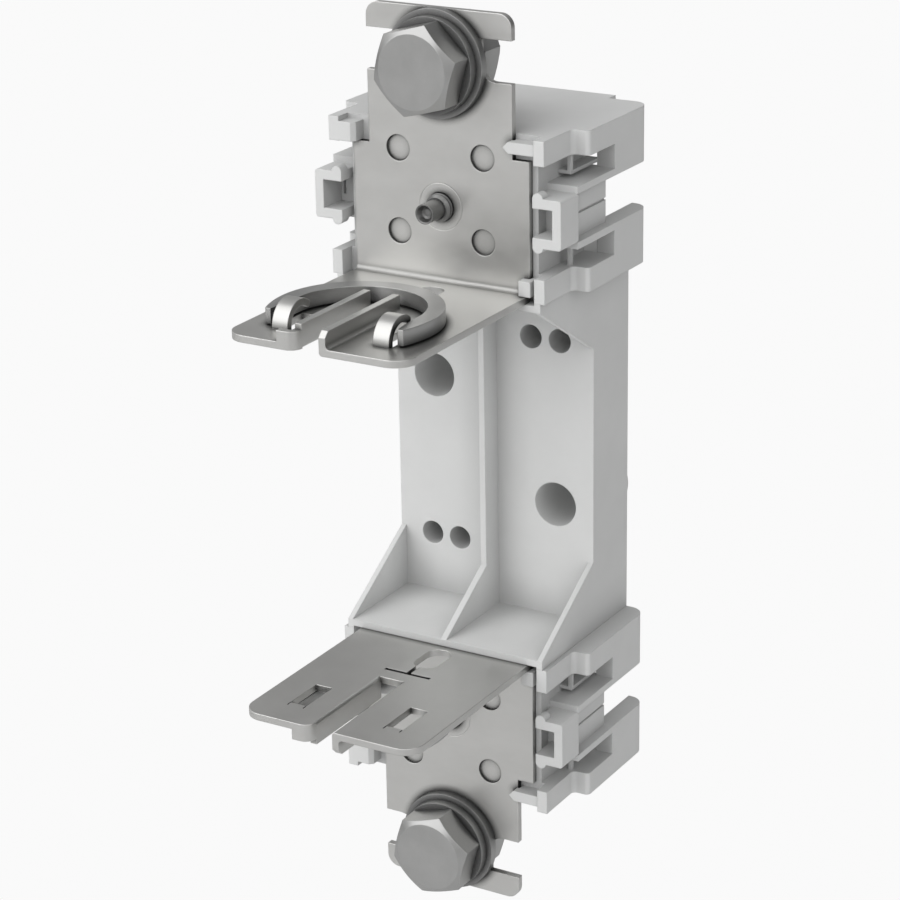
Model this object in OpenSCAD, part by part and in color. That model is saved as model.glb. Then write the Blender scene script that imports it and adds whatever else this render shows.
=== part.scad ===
// Single-pole fuse base for blade-contact fuses, in millimetres.
// X is to the right, Y points back into the mounting panel and Z is up.
// The mounting plane is Y = 0 and the origin is midway between the two panel holes.
// The lower half is the mirror image of the upper half, apart from the panel holes.

/* [Main sizes] */
// Distance between the axes of the two terminal bolts
terminal_pitch = 175; // [173:0.5:180]
// Distance between the facing sides of the two contact shelves
shelf_space = 80.2; // [78:0.2:82]
// Distance from the mounting plane to the front of the contact legs
seat_depth = 40; // [39:0.5:44]
// Thickness of the contact sheet
sheet_t = 1.5; // [1.3:0.1:1.7]

/* [Contact leg] */
// Width of the leg where the end block holds it
leg_w = 41.4; // [40.6:0.2:43]
// Width of the leg at the terminal
terminal_w = 33.8; // [32:0.2:36]
// Height of the side notches at the terminal
notch_h = 8.7; // [7.5:0.1:9.5]
// Distance from the bolt axis down to the inner edge of the side notches
notch_drop = 2.9; // [2:0.1:3.5]
// Width of the neck between the side notches
neck_w = 19.4; // [18.6:0.2:21]
// Radius in the inner corner of the side notches
neck_r = 3.5; // [2:0.5:4]
// Height of the cross bar at the end of the leg
cross_bar_h = 5.3; // [4.5:0.1:6]
// Radius of the outer corners of the cross bar
cross_bar_r = 2.8; // [1.5:0.1:4]
// Inner radius of the bend between leg and shelf
bend_r = 1.0; // [0.6:0.1:1.6]
// Diameter of the locating dimples
dimple_d = 5.6; // [5:0.1:6.2]
// Depth of the locating dimples
dimple_depth = 0.6; // [0.4:0.1:0.8]
// Distance between the dimples across the leg
dimple_pitch_x = 19.9; // [18:0.1:21]
// Distance between the dimples along the leg
dimple_pitch_z = 17.6; // [16.8:0.1:18.4]
// Height of the middle of the dimples above the fixing screw
dimple_lift = 2.5; // [2:0.1:3]

/* [Contact shelf] */
// Width of the shelf
shelf_w = 41.6; // [40.8:0.2:43]
// Reach of the shelf in front of the leg
shelf_reach = 49.3; // [48:0.1:51]
// Radius of the front corners of the shelf
shelf_corner_r = 4.5; // [3:0.5:5]
// Clear width between the jaw flanges
jaw_gap = 5.4; // [5.2:0.1:5.8]
// Distance of the middle of the jaw from the middle of the shelf
jaw_shift = 1.1; // [0.8:0.1:1.3]
// Length of the jaw slot from the front edge
jaw_slot_l = 27.5; // [26.5:0.1:28]
// Height of the jaw flanges over the facing side of the shelf
jaw_flange_h = 5.0; // [4.6:0.1:5.6]
// Outer radius of the coined bend at the jaw flanges
jaw_bend_r = 0.7; // [0.4:0.1:1]
// Radius of the fillet between shelf and jaw flange
jaw_fillet_r = 0.8; // [0.5:0.1:1.2]
// Size of the chamfer on the front ends of the jaw flanges
jaw_chamfer = 1.2; // [0.8:0.1:1.6]
// Radius of the flared lead-in on the left jaw flange
flare_r = 2.5; // [2:0.1:3]
// Straight length of the lead-in after its bend
flare_l = 1.9; // [1.2:0.1:2.4]
// Width of the relief slit behind the jaw
slit_w = 0.9; // [0.7:0.1:1.2]
// Length of the relief slit across the shelf
slit_l = 11.1; // [10:0.1:12]
// Distance of the relief slit in front of the leg
slit_y = 17.9; // [17.5:0.1:18.3]
// Length of the relief hole behind the slit
relief_hole_l = 10; // [8:0.5:11]
// Width of the relief hole behind the slit
relief_hole_w = 5.7; // [5:0.1:6.4]
// Distance of the relief hole in front of the leg
relief_hole_y = 4; // [3:0.5:5]
// Sideways offset of the relief hole
relief_hole_x = 1.3; // [1:0.1:1.6]

/* [Spring claws] */
// Distance between the outer sides of the two claws of a shelf
claw_span = 26.9; // [26.5:0.1:27.3]
// Width of a claw
claw_w = 3.6; // [3.2:0.1:4]
// Clearance of the window round a claw
claw_window_gap = 0.25; // [0.2:0.05:0.4]
// Length of the window that a claw is cut from
claw_window_l = 11.1; // [10.5:0.1:11.5]
// Distance of the front end of that window in front of the leg
claw_window_y = 42.7; // [42.2:0.1:43]
// Height of the claw over the outer side of the shelf
claw_h = 5.3; // [5:0.1:5.8]
// Outer radius of the rolled claw
claw_r = 5.0; // [4.6:0.1:5]
// Angle over which the claw runs on past its crest
claw_end = 38; // [30:1:46]

/* [Ring spring] */
// Outer radius of the ring spring
ring_r = 17.5; // [17.3:0.1:18]
// Inner radius of the ring spring
ring_bore_r = 14.0; // [13.95:0.05:14.2]
// Thickness of the ring spring
ring_t = 3.2; // [2.8:0.1:3.6]
// Gap between the ring spring and the shelf
ring_lift = 0.4; // [0.3:0.1:0.6]
// Distance of the ring centre in front of the leg
ring_y = 32.8; // [32.4:0.1:33.2]
// Length of the straight legs of the ring spring
ring_leg_l = 8.7; // [8.4:0.1:9.2]
// Radius of the taper on the outer side of the ring legs
ring_taper_r = 24; // [22:1:34]
// Radius of the taper on the inner side of the ring legs
ring_inner_taper_r = 60; // [50:1:90]

/* [Terminal bolt] */
// Nominal diameter of the terminal bolt
bolt_d = 10; // [9:0.5:11]
// Length of the terminal bolt under its head
bolt_l = 25; // [22:1:28]
// Width across flats of bolt head and nut
bolt_flats = 17; // [16:0.5:18]
// Height of the bolt head
bolt_head_h = 6.4; // [5.8:0.1:7]
// Turn of the upper bolt head and nut from a corner pointing right
upper_bolt_turn = 15; // [0:1:59]
// Turn of the lower bolt head and nut from a corner pointing right
lower_bolt_turn = 16; // [0:1:59]
// Width of the chamfer on bolt heads and nuts
hex_chamfer = 0.8; // [0.4:0.1:1.2]
// Height of the terminal nut
nut_h = 8.4; // [7.5:0.1:9]
// Radial clearance between bolt and nut
thread_clearance = 0.05; // [0.02:0.01:0.08]
// Radial clearance of the bolt in washers and leg
bolt_hole_gap = 0.4; // [0.3:0.05:0.6]
// Outer diameter of the flat washer
flat_washer_d = 22.5; // [21:0.5:24]
// Thickness of the flat washer
flat_washer_t = 2.0; // [1.6:0.1:2.5]
// Outer diameter of the spring washer
spring_washer_d = 20; // [18:0.2:20]
// Thickness of the spring washer
spring_washer_t = 2.2; // [1.8:0.1:2.6]
// Width of the split in the spring washer
spring_split = 0.9; // [0.6:0.1:1.4]

/* [Fixing screw] */
// Nominal diameter of the fixing screw
screw_d = 6; // [5:0.5:6.5]
// Length of the fixing screw under its head
screw_l = 20; // [19:0.5:21]
// Length that stands out in front of the leg
screw_proud = 6.6; // [6:0.1:7]
// Diameter of the plain point of the screw
screw_point_d = 4.2; // [3.6:0.1:4.6]
// Length of the plain point of the screw
screw_point_l = 4.6; // [4:0.1:5]
// Width across flats of the screw head
screw_flats = 10; // [9:0.5:11]
// Height of the screw head
screw_head_h = 4; // [3.4:0.1:4.4]
// Outer diameter of the washer under the screw head
screw_washer_d = 12; // [11.5:0.5:13]
// Thickness of the washer under the screw head
screw_washer_t = 1.6; // [1.2:0.1:1.8]
// Outer diameter of the spring washer under the screw head
screw_spring_d = 11; // [10:0.2:11.4]
// Thickness of the spring washer under the screw head
screw_spring_t = 1.6; // [1.2:0.1:1.8]
// Diameter of the press nut where it fills the leg
press_nut_d = 10; // [9.4:0.1:10.6]
// Diameter of the press nut flange behind the leg
press_nut_flange_d = 12.5; // [11.6:0.1:13]
// Height of the press nut flange behind the leg
press_nut_h = 3.5; // [3:0.1:4]

/* [End blocks] */
// Height of an end block
block_h = 33.8; // [33.2:0.1:35]
// Height from the contact shelf plane to the inner flange
block_lift = 0.5; // [0.3:0.1:0.8]
// Width by which the core of an end block stands out past the contact leg
core_margin = 1.3; // [1.1:0.1:1.7]
// Width of the gap between the core and the ears
ear_gap = 0.9; // [0.6:0.1:1.3]
// Width by which the rear part stands out past the ears
rear_margin = 3.8; // [3.4:0.1:4.4]
// Height of the two flanges of an end block
flange_h = 5.15; // [4.8:0.05:5.4]
// Height of the coupling channels beside the core
channel_h = 5.2; // [4.8:0.05:5.4]
// Thickness of the bars between the coupling channels
bar_t = 1.5; // [1.2:0.1:1.8]
// How far the front of the flanges stands out in front of the legs
flange_proud = 2.2; // [1.9:0.1:2.6]
// Length of the narrow front part of the flanges
ear_l = 12; // [11:0.5:13]
// Thickness of the ears beside the leg
ear_t = 2.4; // [2:0.1:2.6]
// Thickness of the side walls of the rear part
rear_wall_t = 4.1; // [3.6:0.1:4.5]
// Distance of the rear edge of the side walls from the mounting plane
rear_step = 3; // [2:0.5:4]
// Radius of the rear corners
rear_corner_r = 3.5; // [2:0.5:3.5]
// Width of the feet that reach the mounting plane
foot_w = 39; // [36:0.5:42]
// Wall thickness of the hollow moulding
wall_t = 2.6; // [2.2:0.1:3]
// Thickness of the front wall behind the contact leg
front_wall_t = 4; // [3.8:0.1:5]
// Radius of the fillet between the ears and the rear part
step_fillet_r = 1.2; // [0.6:0.1:2]
// Thickness of the inner ribs
rib_t = 1.4; // [1.2:0.1:1.8]
// Diameter of the boss round the fixing screw
screw_boss_d = 16; // [15:0.5:18]
// Depth of the coupling brackets
bracket_l = 7.5; // [7:0.1:8]
// Height of the coupling brackets
bracket_h = 10.3; // [9.9:0.1:10.5]
// Thickness of the arms of the coupling brackets
bracket_arm_t = 2.1; // [1.8:0.1:2.3]
// Thickness of the outer web of the coupling brackets
bracket_web_t = 2.0; // [1.6:0.1:2.3]
// Height of the bead on the inner end of the bracket arms
bracket_bead = 1.2; // [0.8:0.1:1.5]
// Depth by which the wall between the bars is set back
bar_recess = 2.1; // [1.8:0.1:2.4]

/* [Retaining tabs] */
// Overlap of the nose over the edge of the leg
nose_overlap = 1.2; // [0.9:0.1:1.6]
// Height of the nose
nose_h = 2.4; // [2:0.1:2.8]
// Distance of the nose from the end of the block
nose_drop = 1.0; // [0.6:0.1:1.6]
// Thickness of the nose
nose_t = 1.8; // [1.6:0.1:1.9]
// Length of the tapered tip of the nose
nose_taper = 1.2; // [0.8:0.1:1.6]
// Overlap of the hook over the wide part of the leg
hook_overlap = 1.4; // [1:0.1:1.8]
// Clearance between the leg and the tabs round it
tab_gap = 0.1; // [0.05:0.05:0.2]
// Thickness of the arm behind the nose
nose_arm_t = 2.9; // [2.4:0.1:3.2]
// Reach of the left tab in from its ear
left_tab_reach = 3.7; // [3.2:0.1:4]
// Chamfer on the end of the left tab
left_tab_chamfer = 0.9; // [0.5:0.1:1.2]

/* [Web] */
// Distance of the front of the web panel from the mounting plane
web_depth = 18.9; // [18:0.1:20]
// Thickness of the web panel
web_t = 2.5; // [2:0.1:3]
// Width by which the side walls of the web are set in from the ears
web_inset = 1.0; // [0.6:0.1:1.3]
// Thickness of the side walls of the web
web_side_t = 1.2; // [1:0.1:1.6]
// Height of the middle rib over the web panel
web_rib_h = 5.5; // [4.5:0.1:6.5]
// Thickness of the plastic shelves
plastic_shelf_t = 1.5; // [1.3:0.1:1.8]
// Height over which the gussets run out
gusset_h = 14.2; // [13:0.1:16]

/* [Panel holes] */
// Sideways distance between the two panel holes
panel_pitch_x = 30; // [29:0.5:30]
// Height between the two panel holes
panel_pitch_z = 25; // [24:0.5:27]
// Diameter of the panel holes
panel_hole_d = 10; // [9.5:0.1:10.4]
// Wall thickness of the bosses round the panel holes
panel_boss_t = 3; // [2.4:0.1:3]
// Distance between the two small holes of a pair
pin_pitch = 7; // [6.6:0.1:7.4]
// Sideways offset of a pair of small holes
pin_x = 12.65; // [12:0.05:13.2]
// Height offset of a pair of small holes
pin_z = 24.9; // [24:0.1:26]
// Diameter of the small holes
pin_hole_d = 5.3; // [5:0.1:5.6]
// Wall thickness of the bosses round the small holes
pin_boss_t = 1.9; // [1.6:0.1:2.2]

/* [Hidden] */
$fn = 64;
// Overshoot of a cut past the face it opens
cut = 1;

// Depths, from the mounting plane to the front
leg_front = -seat_depth;
leg_back = leg_front + sheet_t;
shelf_front = leg_front - shelf_reach;
flange_front = leg_front - flange_proud;
step_y = flange_front + ear_l;
panel_front = -web_depth;
side_rear = -rear_step;
bracket_rear = flange_front + bracket_l;
cavity_front = leg_back + front_wall_t;

// Heights of the upper half
contact_z = shelf_space / 2;
contact_top = contact_z + sheet_t;
plastic_z = contact_z - plastic_shelf_t;
block_low = contact_z + block_lift;
block_high = block_low + block_h;
block_mid = (block_low + block_high) / 2;
shoulder_z = block_high - flange_h;
bolt_z = terminal_pitch / 2;
notch_z = bolt_z - notch_drop;
leg_end = notch_z + notch_h + cross_bar_h;
// Half heights about the middle of the block
channel_out = block_h / 2 - flange_h;
channel_in = channel_out - channel_h;
gap_half = channel_in - bar_t;

// Widths to one side
core_half = leg_w / 2 + core_margin;
ear_in = core_half + ear_gap;
front_half = ear_in + ear_t;
block_half = front_half + rear_margin;
rear_wall_in = block_half - rear_wall_t;
web_half = front_half - web_inset;
web_in = web_half - web_side_t;

// Stack on the terminal bolt, from the leg to the front
flat_washer_y = leg_front - flat_washer_t;
spring_washer_y = flat_washer_y - spring_washer_t;
bolt_hole_d = bolt_d + 2 * bolt_hole_gap;

// Stack on the fixing screw, from its tip to the rear
screw_tip = leg_front - screw_proud;
screw_head_y = screw_tip + screw_l;
screw_spring_y = screw_head_y - screw_spring_t;
screw_washer_y = screw_spring_y - screw_washer_t;
screw_hole_d = screw_d + 0.8;
press_nut_seat = leg_back + press_nut_h + 0.2;

// Jaw and claws
jaw_half = jaw_gap / 2;
jaw_root = shelf_front + jaw_slot_l;
jaw_top = contact_z + jaw_flange_h;
claw_out = claw_span / 2;
claw_in = claw_out - claw_w;
claw_front = leg_front - claw_window_y;
claw_crest = contact_top + claw_h;
ring_centre = leg_front - ring_y;
ring_z = contact_top + ring_lift;

// Extrudes a plan drawn in X and Y from height z to height z + h
module rise(z, h) {
    translate([0, 0, z]) linear_extrude(h) children();
}

// Extrudes an outline drawn in X and Z from depth y to depth y + t
module slab(y, t) {
    translate([0, y + t, 0]) rotate([90, 0, 0]) linear_extrude(t) children();
}

// Extrudes a profile drawn in Y and Z from x to x + w
module strip(x, w) {
    translate([x, 0, 0]) rotate([90, 0, 90]) linear_extrude(w) children();
}

// Rectangle between two corners
module area(x0, y0, x1, y1) {
    translate([x0, y0]) square([x1 - x0, y1 - y0]);
}

// Block between two corners
module bulk(x0, y0, z0, x1, y1, z1) {
    translate([x0, y0, z0]) cube([x1 - x0, y1 - y0, z1 - z0]);
}

// Cylinder along Y from depth y to depth y + l
module round_y(x, z, d, y, l) {
    translate([x, y + l, z]) rotate([90, 0, 0]) cylinder(d = d, h = l);
}

// Both sides of something drawn for the right side
module both_sides() {
    children();
    mirror([1, 0, 0]) children();
}

// Quarter of a ring between two radii, in the quadrant of negative first and second axis
module quarter_ring(r_in, r_out) {
    intersection() {
        difference() {
            circle(r_out);
            circle(r_in);
        }
        translate([-r_out, -r_out]) square(r_out);
    }
}

// Plan of a flange, of the front ears and of the foot
module flange_plan() {
    difference() {
        union() {
            area(-front_half, flange_front, front_half, step_y + cut);
            area(-block_half, step_y + 1, block_half, side_rear - rear_corner_r);
            area(-block_half + 1, step_y, block_half - 1, step_y + 1);
            for (s = [-1, 1]) {
                translate([s * (block_half - 1), step_y + 1]) circle(1);
                translate([s * (block_half - rear_corner_r), side_rear - rear_corner_r]) circle(rear_corner_r);
            }
            area(rear_corner_r - block_half, side_rear - rear_corner_r, block_half - rear_corner_r, side_rear);
            area(-foot_w / 2, side_rear - cut, foot_w / 2, 0);
            both_sides_2d() difference() {
                area(front_half - cut, step_y - step_fillet_r, front_half + step_fillet_r, step_y + cut);
                translate([front_half + step_fillet_r, step_y - step_fillet_r]) circle(step_fillet_r);
            }
        }
        area(-ear_in, flange_front - cut, ear_in, leg_back);
    }
}

// Plan of the rear side wall on the right
module rear_wall_plan() {
    intersection() {
        flange_plan();
        area(rear_wall_in, panel_front, block_half + cut, side_rear);
    }
}

// Coupling bracket on the right, open to the front
module bracket() {
    half = bracket_h / 2;
    slot_half = half - bracket_arm_t;
    arm_in = core_half + 0.6;
    slab(flange_front, bracket_l) translate([0, block_mid]) difference() {
        union() {
            area(arm_in, -half, block_half - 0.6, half);
            area(arm_in, -half + 0.6, block_half, half - 0.6);
            for (s = [-1, 1]) {
                translate([block_half - 0.6, s * (half - 0.6)]) circle(0.6);
            }
        }
        area(arm_in - cut, -slot_half, block_half - bracket_web_t, slot_half);
    }
    // Beads on the inner ends of the arms
    slab(flange_front, bracket_l / 3) translate([0, block_mid]) {
        for (s = [-1, 1]) {
            translate([arm_in + bracket_bead, s * (half - 0.1)]) circle(bracket_bead);
        }
    }
    // Wall that closes the channel at its rear
    difference() {
        bulk(core_half - cut, bracket_rear - 0.8, block_mid - half, block_half - bar_recess,
            bracket_rear + cut, block_mid + half);
        bulk(block_half - bar_recess - 1.2, bracket_rear - cut, block_mid - 1.5,
            block_half - bar_recess - 0.6, bracket_rear + 2 * cut, block_mid + slot_half - 0.4);
    }
}

// Bars, set-back wall and rails of the coupling channels on the right
module channel_parts() {
    wall_out = block_half - bar_recess;
    for (s = [-1, 1]) {
        bar_low = block_mid + (s > 0 ? gap_half : -channel_in);
        rise(bar_low, bar_t) area(core_half - cut, bracket_rear - 0.3, block_half, panel_front + cut);
        // Rail along the floor of the channel
        rail_low = block_mid + s * (channel_in + 1.3) - 0.4;
        bulk(core_half - cut, step_y, rail_low, rear_wall_in, panel_front + cut, rail_low + 0.8);
        // Post between the rail and the flange
        post_low = s > 0 ? rail_low : block_mid - channel_out - cut;
        post_high = s > 0 ? block_mid + channel_out + cut : rail_low + 0.8;
        bulk(rear_wall_in - 0.9, step_y, post_low, rear_wall_in, step_y + 0.9, post_high);
    }
    difference() {
        bulk(wall_out - 2, bracket_rear, block_mid - channel_in, wall_out, panel_front, block_mid + channel_in);
        // Groove along the middle of the wall
        bulk(wall_out - 0.4, bracket_rear + cut, block_mid - 0.25, wall_out + cut, panel_front + cut,
            block_mid + 0.25);
    }
}

// Tabs that hold the contact leg, at the right of the outer and inner flange and at the left
module retaining_tabs() {
    nose_high = block_high - nose_drop;
    nose_low = nose_high - nose_h;
    nose_tip = terminal_w / 2 - nose_overlap;
    slab(leg_front - tab_gap - nose_t, nose_t) difference() {
        area(nose_tip, nose_low, ear_in + cut, nose_high);
        translate([nose_tip, nose_low]) rotate(45) square(nose_taper * sqrt(2), center = true);
        translate([nose_tip, nose_high]) rotate(45) square(nose_taper * sqrt(2), center = true);
    }
    // Arm that carries the nose from the front face of the block
    difference() {
        bulk(terminal_w / 2 + 0.5, leg_front - tab_gap - nose_t, nose_low, ear_in + cut, leg_back + cut,
            nose_high);
        bulk(terminal_w / 2 + tab_gap + nose_arm_t + 0.4, flange_front - cut, nose_low + 0.5, ear_in + 0.1,
            leg_front - tab_gap - nose_t + 1.2, nose_high - 0.4);
    }
    // Hook over the wide part of the leg beside the shelf
    hook_in = leg_w / 2 - hook_overlap;
    hook_low = contact_top + tab_gap;
    hook_high = block_low + flange_h - 0.8;
    bulk(hook_in, flange_front, hook_low, core_half, leg_front - tab_gap, hook_high);
    bulk(leg_w / 2 + tab_gap, flange_front, hook_low, core_half, leg_back + cut, hook_high);
    // Left tab above the shoulder of the leg, with a chamfered front corner
    rise(shoulder_z + tab_gap, block_high - nose_drop - shoulder_z - tab_gap) difference() {
        area(-ear_in - cut, flange_front, -ear_in + left_tab_reach, leg_back + cut);
        translate([-ear_in + left_tab_reach, flange_front]) rotate(45)
            square(left_tab_chamfer * sqrt(2), center = true);
    }
}

// Hollow of an end block, open at the rear
module block_cavity() {
    low = block_low + wall_t;
    high = block_high - wall_t;
    bulk(-rear_wall_in, panel_front, low, rear_wall_in, cut, high);
    difference() {
        bulk(wall_t - core_half, cavity_front, low, core_half - wall_t, panel_front + cut, high);
        bulk(-rib_t / 2, cavity_front - cut, low - cut, rib_t / 2, panel_front, high + cut);
        bulk(-core_half, cavity_front - cut, block_mid - rib_t / 2, core_half, panel_front,
            block_mid + rib_t / 2);
        round_y(0, block_mid, screw_boss_d, cavity_front - cut, screw_washer_y - cavity_front + cut);
    }
    // Room for the screw head and its washers
    round_y(0, block_mid, screw_boss_d, screw_washer_y, panel_front - screw_washer_y + cut);
}

module end_block() {
    color("#d3d5d4") {
        difference() {
            union() {
                rise(block_low, flange_h) flange_plan();
                rise(block_high - flange_h, flange_h) flange_plan();
                bulk(-core_half, leg_back, block_low, core_half, panel_front + cut, block_high - wall_t);
                both_sides() {
                    rise(block_low, block_mid - gap_half - block_low) rear_wall_plan();
                    rise(block_mid + gap_half, block_high - block_mid - gap_half) rear_wall_plan();
                }
            }
            block_cavity();
            // Clearance for the fixing screw and its press nut
            round_y(0, block_mid, screw_hole_d, leg_back - cut, screw_washer_y - leg_back + 2 * cut);
            round_y(0, block_mid, press_nut_flange_d + 0.6, leg_back - cut, press_nut_seat - leg_back + cut);
            // Recesses for the backs of the locating dimples
            for (x = [-1, 1], z = [-1, 1]) {
                round_y(x * dimple_pitch_x / 2, block_mid + dimple_lift + z * dimple_pitch_z / 2,
                    dimple_d + 0.2, leg_back - cut, cut + dimple_depth + 0.2);
            }
        }
        both_sides() {
            channel_parts();
            bracket();
        }
        retaining_tabs();
    }
}

// Gusset profile drawn in Y and Z between the plastic shelf and the web panel
module gusset_profile() {
    polygon([
        [flange_front, plastic_z],
        [panel_front, plastic_z - gusset_h],
        [panel_front + web_t, plastic_z - gusset_h],
        [panel_front + web_t, plastic_z]
    ]);
}

// Upper half of the web between its side walls
module web_half_height() {
    bulk(-web_half, flange_front, plastic_z, web_half, panel_front + web_t, contact_z);
    bulk(-web_half, leg_back, plastic_z, web_half, panel_front + web_t, block_low);
    // Foot of the ears on the plastic shelf
    both_sides() bulk(ear_in, flange_front, plastic_z, web_half, leg_back, block_low);
    bulk(-web_half, panel_front, -cut, web_half, panel_front + web_t, contact_z);
    for (x = [-web_half, -rib_t / 2, web_in]) {
        w = x == -rib_t / 2 ? rib_t : web_side_t;
        strip(x, w) gusset_profile();
        bulk(x, panel_front, -cut, x + w, side_rear, block_low);
    }
    bulk(-rib_t / 2, panel_front - web_rib_h, -cut, rib_t / 2, panel_front, plastic_z);
    // Ribs behind the panel, in line with the bosses
    for (s = [-1, 1]) {
        bulk(s * pin_x - rib_t / 2, panel_front, -cut, s * pin_x + rib_t / 2, side_rear, block_low);
    }
    bulk(-web_in - cut / 2, panel_front, panel_pitch_z / 2 - rib_t / 2, web_in + cut / 2, side_rear,
        panel_pitch_z / 2 + rib_t / 2);
}

// Places of the panel holes and of the small holes, as X and Z
panel_holes = [for (s = [-1, 1]) [s * panel_pitch_x / 2, -s * panel_pitch_z / 2]];
pin_holes = [for (s = [-1, 1], p = [-1, 1]) [s * pin_x + p * pin_pitch / 2, s * pin_z]];

module web_moulding() {
    color("#d3d5d4") difference() {
        union() {
            web_half_height();
            lower() web_half_height();
            for (p = panel_holes) {
                round_y(p[0], p[1], panel_hole_d + 2 * panel_boss_t, panel_front, web_depth);
            }
            for (p = pin_holes) {
                round_y(p[0], p[1], pin_hole_d + 2 * pin_boss_t, panel_front, web_depth - rear_step);
            }
        }
        for (p = panel_holes) {
            round_y(p[0], p[1], panel_hole_d, panel_front - cut, web_depth + 2 * cut);
        }
        for (p = pin_holes) {
            round_y(p[0], p[1], pin_hole_d, panel_front - cut, web_depth + 2 * cut);
        }
    }
}

// Outline of the contact leg above the bend, drawn in X and Z
module leg_outline() {
    bar_low = notch_z + notch_h;
    half = terminal_w / 2;
    difference() {
        union() {
            area(-leg_w / 2, contact_top + bend_r, leg_w / 2, shoulder_z);
            area(-half, shoulder_z - cut, half, leg_end - cross_bar_r);
            area(cross_bar_r - half, bar_low, half - cross_bar_r, leg_end);
            for (s = [-1, 1]) {
                translate([s * (half - cross_bar_r), leg_end - cross_bar_r]) circle(cross_bar_r);
            }
        }
        both_sides_2d() difference() {
            area(neck_w / 2, notch_z, half + cut, bar_low);
            difference() {
                area(neck_w / 2, notch_z, neck_w / 2 + neck_r, notch_z + neck_r);
                translate([neck_w / 2 + neck_r, notch_z + neck_r]) circle(neck_r);
            }
        }
    }
}

// Both sides of a drawing made for the right side
module both_sides_2d() {
    children();
    mirror([1, 0]) children();
}

// Plan of the flat part of the contact shelf
module shelf_plan() {
    half = shelf_w / 2;
    r = shelf_corner_r;
    slit_front = leg_front - slit_y - slit_w / 2;
    hole_rear = leg_front - relief_hole_y;
    hole_half = relief_hole_w / 2;
    difference() {
        union() {
            area(-half, shelf_front + r, half, leg_front - bend_r);
            area(r - half, shelf_front, half - r, shelf_front + r);
            for (s = [-1, 1]) {
                translate([s * (half - r), shelf_front + r]) circle(r);
            }
        }
        // Jaw slot, as wide as the start of the flange bends
        translate([-jaw_shift, 0]) {
            area(-jaw_half - jaw_bend_r, shelf_front - cut, jaw_half + jaw_bend_r, jaw_root);
            flare_corner();
        }
        // Relief slit, its neck and the long hole
        area(0.45 - slit_l / 2, slit_front, 0.45 + slit_l / 2, slit_front + slit_w);
        area(relief_hole_x - 1.3, slit_front, relief_hole_x - 0.3, hole_rear - hole_half);
        for (y = [hole_rear - hole_half, hole_rear - relief_hole_l + hole_half]) {
            translate([relief_hole_x, y]) circle(hole_half);
        }
        area(relief_hole_x - hole_half, hole_rear - relief_hole_l + hole_half, relief_hole_x + hole_half,
            hole_rear - hole_half);
        // Windows that the claws are cut from
        both_sides_2d() area(claw_in - claw_window_gap, claw_front, claw_out + claw_window_gap,
            claw_front + claw_window_l);
    }
}

// Plan of the shelf corner that the lead-in of the left flange takes away
module flare_corner() {
    difference() {
        area(-jaw_half - flare_r, shelf_front - cut, cut, shelf_front + flare_r);
        translate([-jaw_half - flare_r, shelf_front + flare_r]) circle(flare_r);
    }
}

// Jaw flange on the right, bent away from the fuse, with its seam along the shelf
module jaw_flange() {
    outer = jaw_half + sheet_t;
    slab(shelf_front, jaw_slot_l) {
        translate([jaw_half + jaw_bend_r, contact_z + jaw_bend_r]) circle(jaw_bend_r);
        area(jaw_half + jaw_bend_r, contact_z, outer + cut, contact_top);
        area(jaw_half, contact_z + jaw_bend_r, outer, jaw_top);
        // Fillet on the far side of the bend
        difference() {
            area(outer - 0.2, contact_top - 0.2, outer + jaw_fillet_r, contact_top + jaw_fillet_r);
            translate([outer + jaw_fillet_r, contact_top + jaw_fillet_r]) circle(jaw_fillet_r);
        }
    }
}

// Chamfer on the front end of a flange, drawn for the right side
module jaw_end() {
    strip(jaw_half - flare_r, 2 * flare_r + sheet_t + cut) translate([shelf_front, jaw_top]) rotate(45)
        square(jaw_chamfer * sqrt(2), center = true);
}

// Lead-in of the left flange: a quarter bend and a short straight end, from shelf to top
module flare() {
    high = jaw_top - jaw_chamfer;
    rise(contact_z, high - contact_z) translate([-jaw_half - flare_r, shelf_front + flare_r]) {
        mirror([1, 0]) quarter_ring(flare_r - sheet_t, flare_r);
        area(-flare_l, -flare_r, 0.1, sheet_t - flare_r);
    }
    rise(contact_z, sheet_t) translate([-jaw_half - flare_r, shelf_front + flare_r]) intersection() {
        circle(flare_r);
        area(0, -flare_r, flare_r, 0);
    }
}

// Both jaw flanges about the middle of the jaw
module jaw() {
    difference() {
        jaw_flange();
        jaw_end();
    }
    intersection() {
        mirror([1, 0, 0]) jaw_flange();
        // The straight part ends where the lead-in starts
        bulk(-jaw_half - sheet_t - 2 * cut, shelf_front + flare_r - 0.1, contact_z - cut, cut, jaw_root + cut,
            jaw_top + cut);
    }
    flare();
}

// Profile of a claw, drawn in Y and Z, rolled up and back from the front end of its window
module claw_profile() {
    mid_y = claw_front + claw_r - 0.2;
    mid_z = claw_crest - claw_r;
    line_r = claw_r - sheet_t / 2;
    area(mid_y - claw_r, contact_z, mid_y - claw_r + sheet_t, mid_z);
    translate([mid_y, mid_z]) {
        difference() {
            circle(claw_r);
            circle(claw_r - sheet_t);
            area(-claw_r - cut, -claw_r - cut, claw_r + cut, 0);
            rotate(-claw_end) area(0, -claw_r - cut, claw_r + cut, claw_r + cut);
        }
        // Rounded end
        translate([line_r * sin(claw_end), line_r * cos(claw_end)]) circle(sheet_t / 2);
    }
}

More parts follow.
